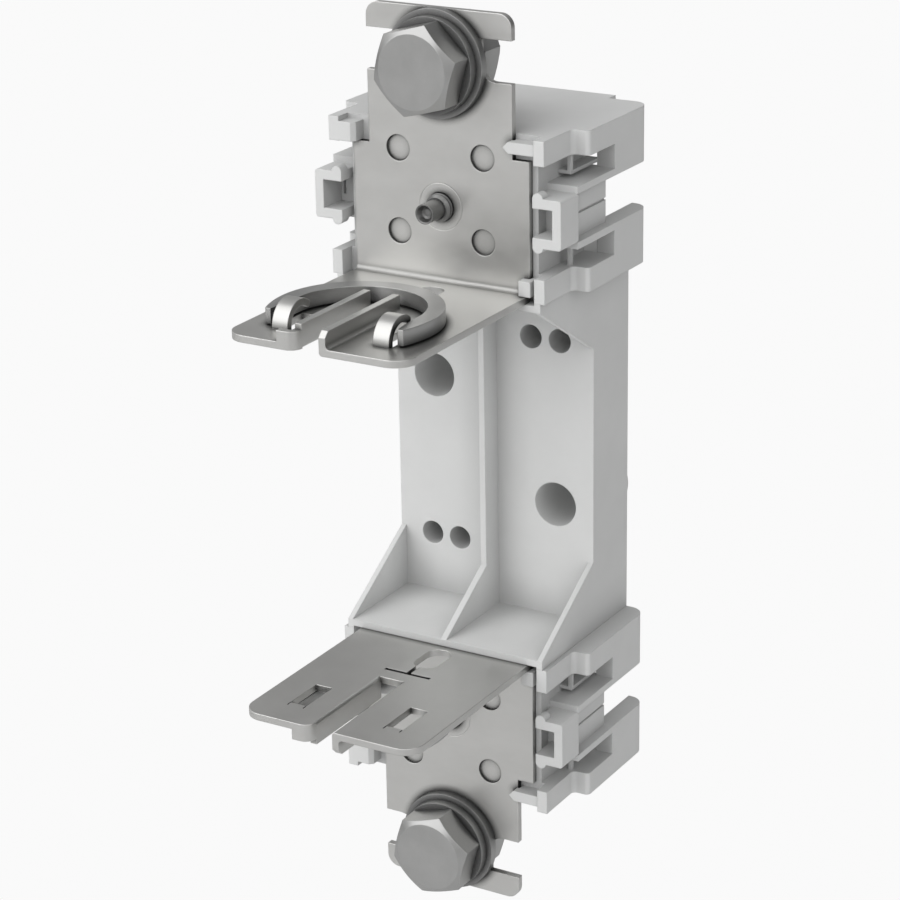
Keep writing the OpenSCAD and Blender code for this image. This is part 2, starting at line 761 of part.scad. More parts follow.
module contact() {
    color("#b4b5b2") {
        difference() {
            union() {
                slab(leg_front, sheet_t) leg_outline();
                for (x = [-1, 1], z = [-1, 1]) {
                    round_y(x * dimple_pitch_x / 2, block_mid + dimple_lift + z * dimple_pitch_z / 2,
                        dimple_d - 0.2, leg_back - dimple_depth, 2 * dimple_depth);
                }
                rise(contact_z, sheet_t) shelf_plan();
                // Bend between leg and shelf, with short ends that run into both
                strip(-leg_w / 2, leg_w) translate([leg_front - bend_r, contact_top + bend_r]) {
                    mirror([1, 0]) quarter_ring(bend_r, bend_r + sheet_t);
                    area(-0.2, -bend_r - sheet_t, 0, -bend_r);
                    area(bend_r, 0, bend_r + sheet_t, 0.2);
                }
                translate([-jaw_shift, 0, 0]) jaw();
                both_sides() strip(claw_in, claw_w) claw_profile();
            }
            round_y(0, bolt_z, bolt_hole_d, leg_front - cut, sheet_t + 2 * cut);
            round_y(0, block_mid, press_nut_d, leg_front - cut, sheet_t + 2 * cut);
            for (x = [-1, 1], z = [-1, 1]) {
                round_y(x * dimple_pitch_x / 2, block_mid + dimple_lift + z * dimple_pitch_z / 2, dimple_d,
                    leg_front - cut, cut + dimple_depth);
            }
        }
    }
}

module ring_spring() {
    color("#9b9c9b") rise(ring_z, ring_t) translate([0, ring_centre]) {
        intersection() {
            difference() {
                circle(ring_r);
                circle(ring_bore_r);
            }
            area(-ring_r - cut, 0, ring_r + cut, ring_r + cut);
        }
        both_sides_2d() intersection() {
            area(ring_bore_r, -ring_leg_l, ring_r, 0);
            translate([ring_r - ring_taper_r, 0]) circle(ring_taper_r);
            translate([ring_bore_r + ring_inner_taper_r, 0]) circle(ring_inner_taper_r);
        }
    }
}

// Hexagonal head or nut along Y with chamfers at its chosen ends
module hexagon(flats, h, front_chamfer, rear_chamfer) {
    corner = flats / sqrt(3);
    face = flats / 2 - hex_chamfer;
    drop = (corner + 0.1 - face) * tan(30);
    intersection() {
        cylinder(r = corner, h = h, $fn = 6);
        rotate_extrude() polygon([
            [0, 0],
            [front_chamfer ? face : corner + 0.1, 0],
            [corner + 0.1, front_chamfer ? drop : 0],
            [corner + 0.1, h - (rear_chamfer ? drop : 0)],
            [rear_chamfer ? face : corner + 0.1, h],
            [0, h]
        ]);
    }
}

// Turns a piece drawn along Z so that it runs back along Y from the depth y
module along_y(z, y, turn) {
    translate([0, y, z]) rotate([-90, 0, 0]) rotate(turn) children();
}

// Ring along Y, with a split on its left side if one is given
module washer(z, y, d, bore, t, split) {
    along_y(z, y, 0) difference() {
        cylinder(d = d, h = t);
        translate([0, 0, -cut]) cylinder(d = bore, h = t + 2 * cut);
        if (split > 0) {
            rotate(180) translate([0, -split / 2, -cut]) cube([d, split, t + 2 * cut]);
        }
    }
}

module press_nut() {
    color("#a9aaa8") difference() {
        union() {
            round_y(0, block_mid, press_nut_d, leg_front, sheet_t);
            round_y(0, block_mid, press_nut_flange_d, leg_back, press_nut_h);
        }
        round_y(0, block_mid, screw_d + 2 * thread_clearance, leg_front - cut, sheet_t + press_nut_h + 2 * cut);
    }
}

module fixing_screw() {
    color("#8f918f") {
        along_y(block_mid, screw_head_y, 0) hexagon(screw_flats, screw_head_h, false, true);
        round_y(0, block_mid, screw_d, screw_tip + screw_point_l, screw_l - screw_point_l);
        difference() {
            round_y(0, block_mid, screw_point_d, screw_tip, screw_point_l);
            // Cupped end of the point
            along_y(block_mid, screw_tip, 0) translate([0, 0, -0.01])
                cylinder(d1 = screw_point_d - 0.9, d2 = screw_point_d - 2.2, h = 1.2);
        }
    }
}

module fixing_washer() {
    color("#9b9d9b") washer(block_mid, screw_washer_y, screw_washer_d, screw_hole_d, screw_washer_t, 0);
}

module fixing_spring_washer() {
    color("#8f918f") washer(block_mid, screw_spring_y, screw_spring_d, screw_d + 0.4, screw_spring_t, 0.8);
}

module terminal_nut(turn) {
    color("#8f918f") difference() {
        along_y(bolt_z, leg_back, turn) hexagon(bolt_flats, nut_h, true, true);
        round_y(0, bolt_z, bolt_d + 2 * thread_clearance, leg_back - cut, nut_h + 2 * cut);
    }
}

module flat_washer() {
    color("#a3a5a3") washer(bolt_z, flat_washer_y, flat_washer_d, bolt_hole_d, flat_washer_t, 0);
}

module spring_washer() {
    color("#8f918f") washer(bolt_z, spring_washer_y, spring_washer_d, bolt_hole_d, spring_washer_t,
        spring_split);
}

module terminal_bolt(turn) {
    color("#8f918f") {
        along_y(bolt_z, spring_washer_y - bolt_head_h, turn) hexagon(bolt_flats, bolt_head_h, true, false);
        round_y(0, bolt_z, bolt_d, spring_washer_y, bolt_l - 1);
        along_y(bolt_z, spring_washer_y + bolt_l - 1, 0) cylinder(d1 = bolt_d, d2 = bolt_d - 2, h = 1);
    }
}

// The lower half of the part
module lower() {
    mirror([0, 0, 1]) children();
}

web_moulding();
end_block();  // upper_end_block
lower() end_block();  // lower_end_block
contact();  // upper_contact
lower() contact();  // lower_contact
ring_spring();  // upper_ring_spring
lower() ring_spring();  // lower_ring_spring
press_nut();  // upper_press_nut
lower() press_nut();  // lower_press_nut
fixing_screw();  // upper_fixing_screw
lower() fixing_screw();  // lower_fixing_screw
fixing_washer();  // upper_fixing_washer
lower() fixing_washer();  // lower_fixing_washer
fixing_spring_washer();  // upper_fixing_spring_washer
lower() fixing_spring_washer();  // lower_fixing_spring_washer
terminal_nut(-upper_bolt_turn);  // upper_terminal_nut
lower() terminal_nut(lower_bolt_turn);  // lower_terminal_nut
flat_washer();  // upper_flat_washer
lower() flat_washer();  // lower_flat_washer
spring_washer();  // upper_spring_washer
lower() spring_washer();  // lower_spring_washer
terminal_bolt(-upper_bolt_turn);  // upper_terminal_bolt
lower() terminal_bolt(lower_bolt_turn);  // lower_terminal_bolt
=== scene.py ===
"""Single-pole fuse base in a pale studio: grey moulding, tin-plated contacts, ring springs and bolts."""
import math

import bpy
from mathutils import Matrix, Vector


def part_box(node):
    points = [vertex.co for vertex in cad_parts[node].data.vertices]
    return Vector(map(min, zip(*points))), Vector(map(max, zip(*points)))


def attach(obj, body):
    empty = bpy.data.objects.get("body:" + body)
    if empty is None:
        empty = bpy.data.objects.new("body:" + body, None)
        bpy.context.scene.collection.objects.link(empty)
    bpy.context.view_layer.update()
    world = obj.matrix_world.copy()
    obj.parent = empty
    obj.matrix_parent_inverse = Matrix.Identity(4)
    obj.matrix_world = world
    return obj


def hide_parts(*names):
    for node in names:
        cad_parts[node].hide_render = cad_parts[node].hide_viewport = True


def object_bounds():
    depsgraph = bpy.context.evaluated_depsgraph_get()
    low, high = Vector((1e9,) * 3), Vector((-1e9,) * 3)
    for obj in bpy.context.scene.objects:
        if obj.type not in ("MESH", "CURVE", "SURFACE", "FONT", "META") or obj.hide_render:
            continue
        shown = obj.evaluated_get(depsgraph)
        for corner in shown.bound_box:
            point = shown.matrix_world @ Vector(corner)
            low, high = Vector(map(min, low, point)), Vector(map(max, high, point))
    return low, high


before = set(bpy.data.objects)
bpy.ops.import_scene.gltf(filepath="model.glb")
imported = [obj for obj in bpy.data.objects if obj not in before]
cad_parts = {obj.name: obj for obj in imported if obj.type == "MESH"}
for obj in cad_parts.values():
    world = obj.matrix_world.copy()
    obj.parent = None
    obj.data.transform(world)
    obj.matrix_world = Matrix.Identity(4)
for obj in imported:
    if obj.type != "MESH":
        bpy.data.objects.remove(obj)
cad_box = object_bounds()

MM = 0.001

# Camera, as fitted to the photograph
CAMERA_AZIMUTH = math.radians(30.798)
CAMERA_ELEVATION = math.radians(20.371)
CAMERA_ROLL = math.radians(-1.0)
CAMERA_DISTANCE = 590.456 * MM
CAMERA_TARGET = Vector((1.196, -40.0, 4.608)) * MM
CAMERA_LENS_MM = 111.946
CAMERA_SENSOR_MM = 36.0
CAMERA_NEAR = 0.01
CAMERA_FAR = 100.0

# Paper floor, in metres, with its white as the camera sees it and as it lights the base
FLOOR_DROP = 0.32
FLOOR_SIZE = 30.0
PAPER_WHITE = 0.955
PAPER_BOUNCE = 0.80
PAPER_ROUGHNESS = 0.9

# Two large soft lights: side, width in metres and power in watts
LIGHT_DISTANCE = 2.3
KEY_FROM = Vector((-0.35, -0.6, 0.55))
KEY_SIZE = 3.2
KEY_POWER = 37.0
FILL_FROM = Vector((0.9, -0.45, 0.5))
FILL_SIZE = 1.6
FILL_POWER = 7.5

# Two glows of the room: side, least and most light, and the cosines at which each starts and is full
ROOM_GLOWS = (
    {"side": Vector((-0.2, -0.9, 0.1)), "least": 0.10, "most": 0.75, "start": -0.7, "full": 0.75},
    {"side": Vector((-0.6, 0.75, 0.3)), "least": 0.0, "most": 0.36, "start": 0.3, "full": 0.9},
)

# Grain and cloud that all finishes share
GRAIN_DETAIL = 3.0
GRAIN_HEIGHT = 0.03 * MM
CLOUD_DETAIL = 4.0
CLOUD_ROUGHNESS = 0.6
CLOUD_DARKEST = 0.3
CLOUD_LIGHTEST = 0.7

# Edge wear and its painted highlight start and are full at these cosines between the rounded and the flat
# normal
WEAR_AND_HIGHLIGHT_START = 0.995
WEAR_AND_HIGHLIGHT_FULL = 0.85

# Painted shade in the creases starts and is full where this share of the near surroundings is open
PAINTED_SHADE_START = 0.95
PAINTED_SHADE_FULL = 0.5
CREASE_DULLNESS = 0.35
EDGE_SAMPLES = 6

# Terminal bolts, as in the part but 3 mm shorter, because no end shows past the upper nut
BOLT_D = 10 * MM
BOLT_PITCH = 1.5 * MM
BOLT_LENGTH = 22 * MM
BOLT_FLATS = 17 * MM
BOLT_HEAD = 6.4 * MM
BOLT_HEAD_CHAMFER = 0.8 * MM
BOLT_END_CHAMFER = 1.0 * MM
BOLT_TURNS = {"upper": math.radians(-15), "lower": math.radians(-16)}

# Fixing screws, as in the part
SCREW_D = 6 * MM
SCREW_PITCH = 1.0 * MM
SCREW_LENGTH = 20 * MM
SCREW_FLATS = 10 * MM
SCREW_HEAD = 4 * MM
SCREW_HEAD_CHAMFER = 0.56 * MM
SCREW_END_CHAMFER = 0.6 * MM
POINT_D = 4.2 * MM
POINT_LENGTH = 4.6 * MM
POINT_OVERLAP = 1.0 * MM
POINT_SIDES = 48
# Rings of the cup pressed into the point, from its rim inward: width and depth
CUP_RINGS = ((0.2 * MM, 0.0), (0.15 * MM, -0.1 * MM), (0.55 * MM, -1.0 * MM), (0.4 * MM, -0.25 * MM))

# Threads, in pitches, and the height inside the head at which a shank starts, as a share of the head
THREAD_DEPTH = 0.6
CREST_WIDTH = 0.12
THREAD_STEPS = 40
SHANK_START = 0.8

# Chamfer of a head, cut by a turned blank a little wider than the hexagon's corners
HEX_SIDES = 6
HEAD_CHAMFER_ANGLE = math.radians(30)
BLANK_MARGIN = 1.02
BLANK_SIDES = 96

# Points nearer to each other than WELD are merged, and points nearer to a cut than HAIR lie on it
WELD = 0.001 * MM
HAIR = 0.0001 * MM
# A face looks up where its normal's height is above this
LOOKS_UP = 0.9
SMOOTH_BELOW = math.radians(25)
# Tilts that lay the Z axis of a piece back into the base or forward out of it
BACKWARD = math.radians(-90)
FORWARD = math.radians(90)


def place_camera():
    """Puts the camera where the photograph was taken from."""
    data = bpy.data.cameras.new("camera")
    data.lens = CAMERA_LENS_MM
    data.sensor_width = CAMERA_SENSOR_MM
    data.clip_start = CAMERA_NEAR
    data.clip_end = CAMERA_FAR
    camera = bpy.data.objects.new("camera", data)
    turn = (Matrix.Rotation(CAMERA_AZIMUTH, 4, "Z")
            @ Matrix.Rotation(math.radians(90) - CAMERA_ELEVATION, 4, "X")
            @ Matrix.Rotation(CAMERA_ROLL, 4, "Z"))
    step_back = Matrix.Translation((0, 0, CAMERA_DISTANCE))
    camera.matrix_world = Matrix.Translation(CAMERA_TARGET) @ turn @ step_back
    bpy.context.scene.collection.objects.link(camera)
    bpy.context.scene.camera = camera


def add(tree, kind, x, y, **settings):
    """A node at a place in the tree, with its plain properties set."""
    node = tree.nodes.new(kind)
    node.location = (x, y)
    for key, value in settings.items():
        setattr(node, key, value)
    return node


def preset(node, values):
    """Sets sockets of a node, by name or number, to fixed values."""
    for socket, value in values.items():
        node.inputs[socket].default_value = value


def wire(tree, source, target):
    """Links two sockets."""
    tree.links.new(source, target)


# Shader groups that every finish shares

def new_group(name, inputs, outputs):
    """An empty shader group. Inputs with a number are values and those without are vectors."""
    group = bpy.data.node_groups.new(name, "ShaderNodeTree")
    for label, number in inputs.items():
        if number is None:
            group.interface.new_socket(label, in_out="INPUT", socket_type="NodeSocketVector")
        else:
            socket = group.interface.new_socket(label, in_out="INPUT", socket_type="NodeSocketFloat")
            socket.default_value = number
    for label, kind in outputs.items():
        group.interface.new_socket(label, in_out="OUTPUT", socket_type=kind)
    start = add(group, "NodeGroupInput", -900, 0)
    end = add(group, "NodeGroupOutput", 900, 0)
    return group, start, end


def grain_group():
    """Fine grain for a bump and a slow cloud for colour and gloss, from one set of coordinates."""
    group, start, end = new_group(
        "grain", {"Vector": None, "Grain Scale": 1500.0, "Cloud Scale": 90.0},
        {"Grain": "NodeSocketFloat", "Cloud": "NodeSocketFloat"})
    fine = add(group, "ShaderNodeTexNoise", -500, 150)
    preset(fine, {"Detail": GRAIN_DETAIL})
    wire(group, start.outputs["Vector"], fine.inputs["Vector"])
    wire(group, start.outputs["Grain Scale"], fine.inputs["Scale"])
    wire(group, fine.outputs["Fac"], end.inputs["Grain"])
    slow = add(group, "ShaderNodeTexNoise", -500, -150)
    preset(slow, {"Detail": CLOUD_DETAIL, "Roughness": CLOUD_ROUGHNESS})
    level = add(group, "ShaderNodeMapRange", -200, -150)
    preset(level, {"From Min": CLOUD_DARKEST, "From Max": CLOUD_LIGHTEST})
    wire(group, start.outputs["Vector"], slow.inputs["Vector"])
    wire(group, start.outputs["Cloud Scale"], slow.inputs["Scale"])
    wire(group, slow.outputs["Fac"], level.inputs["Value"])
    wire(group, level.outputs["Result"], end.inputs["Cloud"])
    return group


def edge_group():
    """Rounded edges as a normal, a mask of edge wear that also paints a highlight on the edges, and a
    mask of painted shade in the creases.
    """
    group, start, end = new_group(
        "soft edges", {"Radius": 0.3 * MM, "Painted Shade Reach": 2 * MM, "Cloud": 0.5},
        {"Normal": "NodeSocketVector", "Wear And Highlight": "NodeSocketFloat", "Painted Shade": "NodeSocketFloat"})
    edge = add(group, "ShaderNodeBevel", -600, 100, samples=EDGE_SAMPLES)
    wire(group, start.outputs["Radius"], edge.inputs["Radius"])
    wire(group, edge.outputs["Normal"], end.inputs["Normal"])
    # Edge wear and a painted highlight lie where the rounded normal leaves the flat one, in patches
    flat = add(group, "ShaderNodeNewGeometry", -600, -150)
    turn = add(group, "ShaderNodeVectorMath", -350, 0, operation="DOT_PRODUCT")
    level = add(group, "ShaderNodeMapRange", -100, 0)
    preset(level, {"From Min": WEAR_AND_HIGHLIGHT_START, "From Max": WEAR_AND_HIGHLIGHT_FULL})
    patchy = add(group, "ShaderNodeMath", 200, 0, operation="MULTIPLY")
    wire(group, edge.outputs["Normal"], turn.inputs[0])
    wire(group, flat.outputs["Normal"], turn.inputs[1])
    wire(group, turn.outputs["Value"], level.inputs["Value"])
    wire(group, level.outputs["Result"], patchy.inputs[0])
    wire(group, start.outputs["Cloud"], patchy.inputs[1])
    wire(group, patchy.outputs["Value"], end.inputs["Wear And Highlight"])
    # Painted shade lies in the creases, where little of the near surroundings is open
    hollow = add(group, "ShaderNodeAmbientOcclusion", -600, -400, samples=EDGE_SAMPLES)
    depth = add(group, "ShaderNodeMapRange", -350, -400)
    preset(depth, {"From Min": PAINTED_SHADE_START, "From Max": PAINTED_SHADE_FULL})
    wire(group, start.outputs["Painted Shade Reach"], hollow.inputs["Distance"])
    wire(group, hollow.outputs["AO"], depth.inputs["Value"])
    wire(group, depth.outputs["Result"], end.inputs["Painted Shade"])
    return group


GRAIN = grain_group()
EDGES = edge_group()


# Finishes

def new_material(name):
    """A material with a Principled BSDF wired to its output."""
    material = bpy.data.materials.new(name)
    material.use_nodes = True
    tree = material.node_tree
    tree.nodes.clear()
    shader = add(tree, "ShaderNodeBsdfPrincipled", 400, 0)
    output = add(tree, "ShaderNodeOutputMaterial", 800, 0)
    wire(tree, shader.outputs["BSDF"], output.inputs["Surface"])
    return material, tree, shader, output


def mix_colours(tree, y, mask, low, high):
    """Mixes two colours by a mask. A colour is given as three numbers or as a socket."""
    node = add(tree, "ShaderNodeMix", -100, y, data_type="RGBA")
    for label, colour in (("A", low), ("B", high)):
        socket = [s for s in node.inputs if s.name == label and s.type == "RGBA"][0]
        if isinstance(colour, tuple):
            socket.default_value = (*colour, 1)
        else:
            wire(tree, colour, socket)
    factor = [s for s in node.inputs if s.name == "Factor" and s.type == "VALUE"][0]
    wire(tree, mask, factor)
    return [s for s in node.outputs if s.type == "RGBA"][0]


def surface(name, dark, light, worn, shade, rough, grain_scale, cloud_scale, radius, reach, bump,
            stretch=(1, 1, 1)):
    """A finish of clouded colour and gloss, rounded edges lightened by wear and a painted highlight,
    creases darkened by painted shade, and a fine grain.
    """
    material, tree, shader, _ = new_material(name)
    where = add(tree, "ShaderNodeTexCoord", -1100, 0)
    mapping = add(tree, "ShaderNodeMapping", -900, 0)
    preset(mapping, {"Scale": stretch})
    wire(tree, where.outputs["Object"], mapping.inputs["Vector"])
    grain = add(tree, "ShaderNodeGroup", -650, 100, node_tree=GRAIN)
    preset(grain, {"Grain Scale": grain_scale, "Cloud Scale": cloud_scale})
    wire(tree, mapping.outputs["Vector"], grain.inputs["Vector"])
    edges = add(tree, "ShaderNodeGroup", -400, -200, node_tree=EDGES)
    preset(edges, {"Radius": radius, "Painted Shade Reach": reach})
    wire(tree, grain.outputs["Cloud"], edges.inputs["Cloud"])
    colour = mix_colours(tree, 400, grain.outputs["Cloud"], dark, light)
    # Edge wear and a painted highlight lighten the edges toward the colour of wear and highlight
    colour = mix_colours(tree, 200, edges.outputs["Wear And Highlight"], colour, worn)
    # Painted shade: the creases are darkened toward the shade colour
    colour = mix_colours(tree, 0, edges.outputs["Painted Shade"], colour, shade)
    wire(tree, colour, shader.inputs["Base Color"])
    # The cloud varies the gloss, and dust makes the creases dull, by the same mask as the painted shade
    gloss = add(tree, "ShaderNodeMapRange", -100, -200)
    preset(gloss, {"To Min": rough[0], "To Max": rough[1]})
    dull = add(tree, "ShaderNodeMath", 150, -200, operation="MULTIPLY_ADD")
    preset(dull, {1: CREASE_DULLNESS})
    wire(tree, grain.outputs["Cloud"], gloss.inputs["Value"])
    wire(tree, edges.outputs["Painted Shade"], dull.inputs[0])
    wire(tree, gloss.outputs["Result"], dull.inputs[2])
    wire(tree, dull.outputs["Value"], shader.inputs["Roughness"])
    relief = add(tree, "ShaderNodeBump", 150, -400)
    preset(relief, {"Strength": bump, "Distance": GRAIN_HEIGHT})
    wire(tree, grain.outputs["Grain"], relief.inputs["Height"])
    wire(tree, edges.outputs["Normal"], relief.inputs["Normal"])
    wire(tree, relief.outputs["Normal"], shader.inputs["Normal"])
    return material, shader


def moulded_plastic():
    """Light grey moulded plastic with a faint flow mottle, a fine matt skin, edges lightened by wear and
    a painted highlight, and painted shade in its recesses.
    """
    material, shader = surface(
        "moulded plastic", dark=(0.73, 0.735, 0.73), light=(0.77, 0.775, 0.77), worn=(0.86, 0.86, 0.855),
        shade=(0.56, 0.563, 0.56), rough=(0.48, 0.56), grain_scale=2600.0, cloud_scale=60.0,
        radius=0.35 * MM, reach=9 * MM, bump=0.10)
    preset(shader, {"IOR": 1.46, "Specular IOR Level": 0.35})
    return material


def plated_metal(name, **looks):
    """A metal finish with a light grain."""
    material, shader = surface(name, bump=0.12, **looks)
    preset(shader, {"Metallic": 1.0})
    return material


def tin_plate():
    """Satin tin plating of the contact sheets, with sheared edges brightened by wear and a painted
    highlight, and creases darkened by painted shade.
    """
    return plated_metal(
        "tin plated sheet", dark=(0.605, 0.602, 0.587), light=(0.655, 0.652, 0.637),
        worn=(0.93, 0.925, 0.91), shade=(0.05, 0.05, 0.049), rough=(0.33, 0.41), grain_scale=900.0,
        cloud_scale=80.0, radius=0.28 * MM, reach=2 * MM, stretch=(1, 1, 2))


def spring_steel():
    """Plated spring steel of the rings, a little darker than the sheet, with painted shade in its
    creases.
    """
    return plated_metal(
        "spring steel", dark=(0.46, 0.46, 0.455), light=(0.54, 0.54, 0.535), worn=(0.66, 0.66, 0.65),
        shade=(0.08, 0.08, 0.08), rough=(0.30, 0.42), grain_scale=700.0, cloud_scale=120.0,
        radius=0.25 * MM, reach=3 * MM, stretch=(1, 1, 3))


def zinc_plate():
    """Grey zinc plating of the bolts, nuts and washers, with painted shade where they meet."""
    return plated_metal(
        "zinc plated steel", dark=(0.42, 0.42, 0.415), light=(0.47, 0.47, 0.465), worn=(0.62, 0.62, 0.61),
        shade=(0.10, 0.10, 0.10), rough=(0.28, 0.38), grain_scale=900.0, cloud_scale=140.0,
        radius=0.25 * MM, reach=6 * MM)


def screw_steel():
    """Dark steel of the fixing screws, with painted shade in its creases."""
    return plated_metal(
        "dark screw steel", dark=(0.20, 0.20, 0.198), light=(0.27, 0.27, 0.266), worn=(0.42, 0.42, 0.41),
        shade=(0.07, 0.07, 0.07), rough=(0.30, 0.42), grain_scale=900.0, cloud_scale=200.0,
        radius=0.12 * MM, reach=1.0 * MM)


def dress(material, *endings):
    """Gives a material to every CAD node whose name ends with one of the endings."""
    for name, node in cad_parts.items():
        if name.endswith(endings):
            node.data.materials.clear()
            node.data.materials.append(material)


# Threaded pieces, modelled along Z with the outer face of the head at zero

def deselect():
    """Deselects everything."""
    bpy.ops.object.select_all(action="DESELECT")


def edit_all(piece):
    """Opens a piece in edit mode with all of it selected."""
    bpy.context.view_layer.objects.active = piece
    bpy.ops.object.mode_set(mode="EDIT")
    bpy.ops.mesh.select_all(action="SELECT")


def edit_chosen(piece, kind, chosen):
    """Opens a piece in edit mode with those points, edges or faces selected that pass a test."""
    bpy.context.view_layer.objects.active = piece
    bpy.ops.object.mode_set(mode="EDIT")
    bpy.ops.mesh.select_mode(type=kind)
    bpy.ops.mesh.select_all(action="DESELECT")
    bpy.ops.object.mode_set(mode="OBJECT")
    elements = {"VERT": piece.data.vertices, "EDGE": piece.data.edges, "FACE": piece.data.polygons}
    for element in elements[kind]:
        element.select = chosen(element)
    bpy.ops.object.mode_set(mode="EDIT")


def close_edit():
    """Goes back to object mode."""
    bpy.ops.object.mode_set(mode="OBJECT")


def apply_modifier(piece, kind, **settings):
    """Adds a modifier, sets it and applies it."""
    modifier = piece.modifiers.new(kind.lower(), kind)
    for key, value in settings.items():
        setattr(modifier, key, value)
    bpy.context.view_layer.objects.active = piece
    bpy.ops.object.modifier_apply(modifier=modifier.name)


def turn_outward(piece):
    """Merges doubles and turns every face outward."""
    edit_all(piece)
    bpy.ops.mesh.remove_doubles(threshold=WELD)
    bpy.ops.mesh.normals_make_consistent(inside=False)
    close_edit()


def cylinder(sides, radius, low, high, turn=0.0):
    """A cylinder about the Z axis from height low to high, with its place in its mesh."""
    deselect()
    bpy.ops.mesh.primitive_cylinder_add(vertices=sides, radius=radius, depth=high - low,
                                        location=(0, 0, (low + high) / 2), rotation=(0, 0, turn))
    bpy.ops.object.transform_apply(location=True, rotation=True, scale=True)
    return bpy.context.object


def hexagon_head(flats, height, chamfer):
    """Hexagon head whose turned chamfer leaves a round face of the flats less the chamfer."""
    corner = flats / math.sqrt(3)
    head = cylinder(HEX_SIDES, corner, 0, height, math.pi / HEX_SIDES)
    blank_radius = corner * BLANK_MARGIN
    face = flats / 2 - chamfer
    drop = (blank_radius - face) * math.tan(HEAD_CHAMFER_ANGLE)
    blank = cylinder(BLANK_SIDES, blank_radius, 0, height)
    edit_all(blank)
    bpy.ops.mesh.bisect(plane_co=(0, 0, drop), plane_no=(0, 0, 1), use_fill=False)
    close_edit()
    for vertex in blank.data.vertices:
        if vertex.co.z < HAIR:
            vertex.co.xy *= face / blank_radius
    apply_modifier(head, "BOOLEAN", operation="INTERSECT", solver="EXACT", object=blank)
    bpy.data.objects.remove(blank)
    turn_outward(head)
    return head


def thread_profile(root, crest, pitch, base):
    """One pitch of a V thread as an open line from root to crest and back, up from a height."""
    deselect()
    bpy.ops.mesh.primitive_plane_add(size=pitch)
    profile = bpy.context.object
    edit_all(profile)
    bpy.ops.mesh.delete(type="ONLY_FACE")
    close_edit()
    inner = {vertex.index for vertex in profile.data.vertices if vertex.co.x < 0}
    edit_chosen(profile, "EDGE", lambda edge: set(edge.vertices) == inner)
    bpy.ops.mesh.delete(type="EDGE")
    close_edit()
    for vertex in profile.data.vertices:
        side = 1 if vertex.co.y > 0 else -1
        if vertex.co.x < 0:
            vertex.co = (root, 0, base + (0.5 + side * 0.5) * pitch)
        else:
            vertex.co = (crest, 0, base + (0.5 + side * CREST_WIDTH / 2) * pitch)
    return profile


def close_end(shank, height):
    """Closes the open end at a height with a fan of faces about the axis."""
    edit_chosen(shank, "VERT", lambda vertex: abs(vertex.co.z - height) < WELD)
    bpy.ops.mesh.extrude_region(use_normal_flip=False)
    close_edit()
    for vertex in shank.data.vertices:
        if vertex.select:
            vertex.co = (0, 0, height)


def threaded_shank(diameter, pitch, low, high, chamfer):
    """Shank with a right-handed V thread from height low to high, chamfered at the high end."""
    crest = diameter / 2
    shank = thread_profile(crest - THREAD_DEPTH * pitch, crest, pitch, low - 2 * pitch)
    # Three turns more than the length takes, so that both cuts go through whole thread
    turns = math.ceil((high - low) / pitch) + 3
    apply_modifier(shank, "SCREW", axis="Z", angle=2 * math.pi, screw_offset=pitch, iterations=turns,
                   steps=THREAD_STEPS, render_steps=THREAD_STEPS, use_merge_vertices=False,
                   use_smooth_shade=False)
    edit_all(shank)
    bpy.ops.mesh.remove_doubles(threshold=2 * WELD)
    for height, side in ((low, -1), (high, 1)):
        bpy.ops.mesh.select_all(action="SELECT")
        bpy.ops.mesh.bisect(plane_co=(0, 0, height), plane_no=(0, 0, side), clear_outer=True,
                            threshold=HAIR)
    close_edit()
    for vertex in shank.data.vertices:
        limit = crest - max(0.0, chamfer - (high - vertex.co.z))
        reach = vertex.co.xy.length
        if reach > limit:
            vertex.co.xy *= limit / reach
    close_end(shank, low)
    close_end(shank, high)
    turn_outward(shank)
    return shank


def cupped_point(tip):
    """Plain point of a fixing screw that ends at a height, with a cup pressed into its end."""
    point = cylinder(POINT_SIDES, POINT_D / 2, tip - POINT_LENGTH - POINT_OVERLAP, tip)
    edit_chosen(point, "FACE", lambda face: face.normal.z > LOOKS_UP)
    for width, depth in CUP_RINGS:
        bpy.ops.mesh.inset(thickness=width, depth=depth)
    close_edit()
    turn_outward(point)
    return point


def join(pieces, name):
    """Joins pieces into one object with a name of its own."""
    deselect()
    for piece in pieces:
        piece.select_set(True)
    whole = pieces[0]
    bpy.context.view_layer.objects.active = whole
    bpy.ops.object.join()
    whole.name = name
    whole.data.name = name
    return whole


def copy_piece(piece, name):
    """A copy with a mesh of its own."""
    twin = piece.copy()
    twin.data = piece.data.copy()
    twin.name = name
    twin.data.name = name
    bpy.context.scene.collection.objects.link(twin)
    return twin


def along_y(y, z, tilt, turn=0.0):
    """Place of a piece whose head is at y and z, tilted from Z to run along Y and turned about it."""
    return Matrix.Translation((0, y, z)) @ Matrix.Rotation(turn, 4, "Y") @ Matrix.Rotation(tilt, 4, "X")


def seat(piece, place, body, node, material):
    """Moves a piece's mesh to its place, dresses it and lets it stand for its CAD node."""
    piece.data.transform(place)
    piece.data.materials.clear()
    piece.data.materials.append(material)
    deselect()
    piece.select_set(True)
    bpy.context.view_layer.objects.active = piece
    bpy.ops.object.shade_smooth_by_angle(angle=SMOOTH_BELOW)
    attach(piece, body)
    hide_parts(node)


def terminal_bolts(material):
    """Both terminal bolts with hexagon heads at the front and M10 threads."""
    head = hexagon_head(BOLT_FLATS, BOLT_HEAD, BOLT_HEAD_CHAMFER)
    end = BOLT_HEAD + BOLT_LENGTH
    shank = threaded_shank(BOLT_D, BOLT_PITCH, BOLT_HEAD * SHANK_START, end, BOLT_END_CHAMFER)
    upper = join([head, shank], "upper_threaded_bolt")
    lower = copy_piece(upper, "lower_threaded_bolt")
    for piece, half in ((upper, "upper"), (lower, "lower")):
        node = half + "_terminal_bolt"
        low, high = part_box(node)
        place = along_y(low.y, (low.z + high.z) / 2, BACKWARD, BOLT_TURNS[half])
        seat(piece, place, node, node, material)


